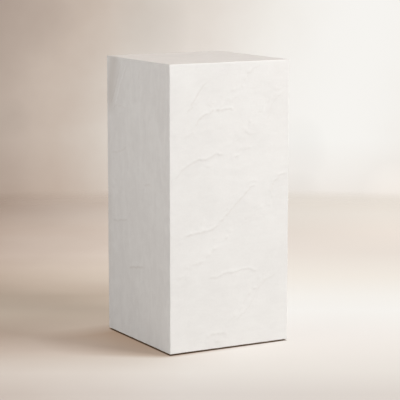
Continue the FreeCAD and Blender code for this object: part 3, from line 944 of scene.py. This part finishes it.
def camera():
    """The photograph's camera, solved from the plinth's corners."""
    data = bpy.data.cameras.new("camera")
    data.lens, data.sensor_width = LENS, SENSOR
    item = add_object("camera", data)
    ahead = Vector((math.sin(YAW) * math.cos(PITCH), math.cos(YAW) * math.cos(PITCH), -math.sin(PITCH)))
    item.location = EYE
    item.rotation_euler = ahead.to_track_quat("-Z", "Y").to_euler()
    bpy.context.scene.camera = item


# Floor: its size, and its two colours as the light finds them and as the eye sees them
FLOOR_RADIUS = 2.48
FLOOR_FADE = 0.2
FLOOR_RIM = 0.3
FLOOR_SIDES = 96
FLOOR_BOUNCE = srgb(150, 144, 138), srgb(172, 168, 164)
FLOOR_SEEN = srgb(186, 166, 152), srgb(251, 248, 242)

# Its painted light: a brightening by metres across and ahead of the plinth's middle, as the camera looks
FLOOR_SLANT = 0.8, -0.06, 0.97
FLOOR_PATCHES = 0.16
PATCH_SCALE = 1.8

# Painted light and shade by metres ahead: a pool of light all over the floor, and bands of painted shadow
# and shade on its left half besides
FLOOR_LIGHT_POOL = [
    (-0.62, (0.735, 0.695, 0.68)),
    (-0.4, (0.83, 0.80, 0.785)),
    (-0.2, (0.88, 0.85, 0.84)),
    (0.0, (0.915, 0.89, 0.89)),
    (0.3, (0.97, 0.97, 0.98)),
    (0.5, (0.97, 0.96, 0.955)),
    (0.8, (0.935, 0.895, 0.86)),
    (1.2, (0.87, 0.81, 0.775)),
    (1.6, (0.86, 0.795, 0.755)),
    (2.0, (0.84, 0.795, 0.76)),
    (2.4, (0.79, 0.74, 0.70)),
]
FLOOR_SHADE_BANDS = [
    (-0.42, WHITE),
    (-0.26, (0.88, 0.85, 0.82)),
    (-0.18, (0.84, 0.79, 0.75)),
    (0.0, (0.87, 0.79, 0.715)),
    (0.24, (0.69, 0.60, 0.515)),
    (0.5, (0.60, 0.52, 0.45)),
    (0.64, (0.72, 0.65, 0.59)),
    (0.8, (0.895, 0.86, 0.82)),
    (0.93, (0.985, 0.965, 0.94)),
    (1.15, (1.05, 1.05, 1.05)),
    (1.4, WHITE),
    (1.7, (0.98, 0.98, 0.98)),
    (2.0, (0.88, 0.87, 0.87)),
    (2.25, (0.78, 0.755, 0.745)),
    (2.5, (0.72, 0.69, 0.68)),
]

# The left half begins at the first of these places across and is full at the second
LEFT_HALF = 0.1, -0.15

# By metres ahead, how much less the left half brightens to the right
LEVELLING = [
    (-0.45, 0.22),
    (-0.3, 0.22),
    (-0.2, 0.0),
    (0.0, 0.0),
    (0.24, 0.68),
    (0.5, 0.6),
    (0.8, 0.0),
    (0.93, 0.0),
    (1.4, 0.05),
    (1.7, 0.0),
]

# A slow change of light across the back right of the floor: from where to where, and by how much
TILT_ACROSS = 0.32, 0.72, -0.045, 0.05
TILT_AHEAD = 1.2, 1.6

# Painted light: the glow that the eye sees where the floor is bright; under the plinth, painted shade for
# the eye and a painted glow that lights its underside
GLOW_WARMTH = (1.0, 0.92, 0.84), WHITE
GLOW_SHARE = 0.33, 0.7
BRIGHT_HALF = 0.5, 1
UNDER_PAINTED_SHADE = (0.16, 0.115, 0.08)
UNDER_PAINTED_GLOW = (0.32, 0.30, 0.28)

# The shade at the plinth's left foot: its tint, reach from the wall, slanted near edge and far end
CONTACT_TINT = (0.66, 0.57, 0.50)
CONTACT_REACH = 0.25
CONTACT_SLANT = 0.7
CONTACT_FRONT = -0.218, -0.178
CONTACT_BACK = 0.13, 0.235
CONTACT_EDGE = 0.02


def seen_rays(s):
    """One for rays that look at the surroundings, also in a reflection, and zero for rays that light."""
    path = s.add("ShaderNodeLightPath")
    seen = path.outputs["Is Camera Ray"]
    for name in ("Is Glossy Ray", "Is Transmission Ray"):
        seen = s.most(seen, path.outputs[name])
    return seen


def clear_of_plinth(s, x, y):
    """Zero on the floor under the plinth and one beyond its sides."""
    beyond_x = s.spread(s.size_of(x), COAT_HIGH.x - ARRIS, COAT_HIGH.x + ARRIS)
    beyond_y = s.spread(s.size_of(y), COAT_HIGH.y - ARRIS, COAT_HIGH.y + ARRIS)
    return s.most(beyond_x, beyond_y)


def beside_shaded_wall(s, x, y):
    """One on the floor at the foot of the plinth's left side, fading out away from it."""
    outside = s.spread(x, COAT_LOW.x - CONTACT_REACH, COAT_LOW.x)
    near = s.times(outside, s.spread(x, COAT_LOW.x, COAT_HIGH.x, 1, 0))
    slanted = s.along(s.place, (CONTACT_SLANT, 1, 0))
    start, full = [limit + CONTACT_SLANT * COAT_LOW.x for limit in CONTACT_FRONT]
    beyond_front = s.spread(y, COAT_LOW.y - CONTACT_EDGE, COAT_LOW.y)
    behind_front = s.times(s.spread(slanted, start, full), beyond_front)
    return s.times(near, s.times(behind_front, s.spread(y, *CONTACT_BACK, 1, 0)))


def floor_share(s, across, ahead, left_half):
    """Where the floor lies between its darker and its brighter colour."""
    by_side, by_depth, base = FLOOR_SLANT
    patches = s.noise(PATCH_SCALE, detail=4, roughness=0.5)
    patches = s.spread(patches, 0, 1, base - FLOOR_PATCHES, base + FLOOR_PATCHES)
    slant = s.sum(s.sum(patches, across, share=by_side), ahead, share=by_depth)
    levelled = s.ramp(ahead, [(place, (share, share, share)) for place, share in LEVELLING])
    slant = s.sum(slant, s.times(s.times(levelled, left_half), across), share=-1.0)
    return s.spread(slant, 0, 1)


def floor_tints(s, across, ahead, left_half, in_shade):
    """Tints of the left half's painted shadow bands, of the shade at the plinth's foot and of the slow
    change of light, all painted.
    """
    shade_bands = s.blend(left_half, WHITE, s.ramp(ahead, FLOOR_SHADE_BANDS))
    shade = s.blend(in_shade, WHITE, CONTACT_TINT)
    tilt = s.times(s.spread(across, *TILT_ACROSS), s.spread(ahead, *TILT_AHEAD))
    tilt = s.sum(1.0, s.times(tilt, s.turned_round(left_half)))
    return shade_bands, shade, tilt


def floor_material():
    """Pale warm floor with a painted pool of light and painted shadows, darker at the back left, clear at
    its edge and from below.
    """
    s = Shader("floor", Roughness=0.9, Specular_IOR_Level=0.2, Emission_Strength=0.0)
    x, y, _ = s.split(s.place)
    across = s.along(s.place, (math.cos(YAW), -math.sin(YAW), 0))
    ahead = s.along(s.place, (math.sin(YAW), math.cos(YAW), 0))
    left_half = s.spread(across, *LEFT_HALF)
    uncovered = clear_of_plinth(s, x, y)
    share = floor_share(s, across, ahead, left_half)
    seen_colour = s.multiply(s.blend(share, *FLOOR_SEEN), s.ramp(ahead, FLOOR_LIGHT_POOL))
    for tint in floor_tints(s, across, ahead, left_half, beside_shaded_wall(s, x, y)):
        seen_colour = s.multiply(seen_colour, tint)
    # Painted shade on the floor under the plinth
    seen_colour = s.multiply(seen_colour, s.blend(uncovered, UNDER_PAINTED_SHADE, WHITE))
    seen = seen_rays(s)
    s.colour(s.blend(seen, s.blend(share, *FLOOR_BOUNCE), seen_colour))

    warmth = s.blend(s.spread(share, *BRIGHT_HALF), *GLOW_WARMTH)
    shine = s.times(seen, s.spread(share, *BRIGHT_HALF, *GLOW_SHARE))
    lit = s.mixed(shine, s.surface.outputs["BSDF"], s.glow(s.multiply(seen_colour, warmth)))
    # A painted glow under the plinth, for rays that light, so that its underside shows
    under = s.times(s.turned_round(uncovered), s.turned_round(seen))
    raised = s.mixed(under, lit, s.glow(UNDER_PAINTED_GLOW))

    far = s.vector_of("LENGTH", "Value", s.place)
    edge = s.spread(far, FLOOR_RADIUS - FLOOR_FADE, FLOOR_RADIUS + FLOOR_FADE)
    below = s.add("ShaderNodeNewGeometry").outputs["Backfacing"]
    hidden = s.times(below, s.add("ShaderNodeLightPath").outputs["Is Camera Ray"])
    clear = s.add("ShaderNodeBsdfTransparent").outputs["BSDF"]
    s.join(s.mixed(s.most(edge, hidden), raised, clear), s.output.inputs["Surface"])
    return s.material


def floor():
    """A round floor."""
    mesh = bpy.data.meshes.new("floor")
    reach = FLOOR_RADIUS + FLOOR_RIM
    turns = [FULL_TURN / FLOOR_SIDES * k for k in range(FLOOR_SIDES)]
    rim = [(reach * math.cos(turn), reach * math.sin(turn), 0) for turn in turns]
    mesh.from_pydata(rim, [], [list(range(FLOOR_SIDES))])
    mesh.materials.append(floor_material())
    item = add_object("floor", mesh)


# Lamps: azimuth from the front to the right, elevation, distance, side, watts and colour
LAMPS = {
    "key": (40, 35, 8.0, 2.8, 680, WHITE),
    "left_card": (-80, 6, 3.4, 2.0, 30, (1.0, 0.98, 0.975)),
    "left_fill": (-75, 30, 3.4, 2.0, 20, (1.0, 0.98, 0.975)),
    "back_fill": (155, 3, 3.2, 1.2, 20, WHITE),
}


def lamp(name, azimuth, elevation, away, side, power, colour):
    """A soft square lamp that looks at the middle of the plinth."""
    data = bpy.data.lights.new(name, "AREA")
    data.shape = "SQUARE"
    data.size, data.energy, data.color = side, power, colour
    item = add_object(name, data)
    a, e = math.radians(azimuth), math.radians(elevation)
    aim = Vector((0, 0, COAT_HIGH.z / 2))
    out = Vector((math.sin(a) * math.cos(e), -math.cos(a) * math.cos(e), math.sin(e)))
    item.location = aim + away * out
    item.rotation_euler = (-out).to_track_quat("-Z", "Y").to_euler()


# Backdrop: the light that it gives, and its colours as seen, from its dark stretch to its bright one
FILL_LIGHT = 0.186
BACKDROP = [
    (0.0, srgb(166, 149, 137.5)),
    (0.3, srgb(199.5, 184.5, 172)),
    (0.5, srgb(215, 205, 195)),
    (0.72, srgb(227, 219, 211)),
    (0.9, srgb(240, 236, 230)),
    (1.0, srgb(246, 244, 240)),
]
BACKDROP_WAVES = 12
BACKDROP_START = YAW - math.radians(3.1)
BACKDROP_CLOUDS = 0.35
BACKDROP_SCALE = 16

# Between these elevations in degrees the whole pattern moves to the right, by so many radians of its wave
MOVES_BETWEEN = -5.3, -2.7
MOVES_BY = 0.3

# Painted shade by elevation in degrees, darkest where the wall meets the floor
SEAM_SHADE = [
    (-8.95, (0.865, 0.825, 0.785)),
    (-8.7, (0.935, 0.90, 0.875)),
    (-8.3, (0.955, 0.93, 0.915)),
    (-7.0, WHITE),
]

# Soft patches of the backdrop: azimuth, elevation and reach each way in degrees, and brightness
PATCHES = [
    (27.6, -3.3, 1.3, 1.8, 0.92),
    (32.6, -7.4, 0.9, 1.2, 0.955),
    (35.7, -8.7, 1.1, 1.0, 1.07),
    (22.9, -6.3, 0.8, 0.7, 0.93),
    # Painted shade on the backdrop beside the plinth's right side, just above the floor
    (32.4, -8.7, 0.9, 0.7, 0.95),
]


class Surroundings(Shader):
    """The world's nodes, joined with the same helpers as a material's."""

    def __init__(self, name):
        world = bpy.data.worlds.new(name)
        bpy.context.scene.world = world
        world.use_nodes = True
        self.tree = world.node_tree
        self.tree.nodes.clear()
        self.place = self.add("ShaderNodeTexCoord").outputs["Generated"]

    def background(self, colour, strength=1.0):
        node = self.add("ShaderNodeBackground")
        self.put((*colour, 1) if isinstance(colour, tuple) else colour, node.inputs["Color"])
        self.set(node, Strength=strength)
        return node.outputs["Background"]


def sine_of(angle):
    """The height of a direction at so many degrees above the level."""
    return math.sin(math.radians(angle))


def patch_tint(s, turn, rise, azimuth, elevation, wide, high, bright):
    """The factor of one soft patch of the backdrop."""
    across = s.spread(turn, math.radians(azimuth - wide), math.radians(azimuth + wide), -1, 1, held=False)
    up = s.spread(rise, sine_of(elevation - high), sine_of(elevation + high), -1, 1, held=False)
    away = s.sum(s.times(across, across), s.times(up, up))
    return s.spread(away, 0, 1, bright, 1)


def world():
    """Even soft light all round, and for the eye a warm cloudy backdrop that brightens to the right."""
    s = Surroundings("world")
    x, y, rise = s.split(s.place)
    turn = s.reckon("ARCTAN2", x, y)
    start = s.spread(s.noise(BACKDROP_SCALE, detail=4), 0, 1, -BACKDROP_CLOUDS, BACKDROP_CLOUDS)
    start = s.sum(start, s.spread(rise, *[sine_of(angle) for angle in MOVES_BETWEEN]), share=-MOVES_BY)
    turned = s.spread(turn, BACKDROP_START, BACKDROP_START + 1, 0, BACKDROP_WAVES, held=False)
    wave = s.reckon("SINE", s.sum(start, turned))
    wall = s.ramp(s.spread(wave, -1, 1), BACKDROP)
    wall = s.multiply(wall, s.ramp(rise, [(sine_of(angle), tint) for angle, tint in SEAM_SHADE]))
    for patch in PATCHES:
        wall = s.multiply(wall, patch_tint(s, turn, rise, *patch))
    shown = s.mixed(seen_rays(s), s.background(WHITE, FILL_LIGHT), s.background(wall))
    s.join(shown, s.add("ShaderNodeOutputWorld").inputs["Surface"])


skin = add_object("plaster_skin", plaster_mesh())
skin.data.materials.append(plaster())
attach(skin, "root")
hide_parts("plaster_coat")

dress_nodes()
camera()
floor()
for lamp_name, settings in LAMPS.items():
    lamp(lamp_name, *settings)
world()
bpy.context.scene.view_settings.view_transform = "Standard"
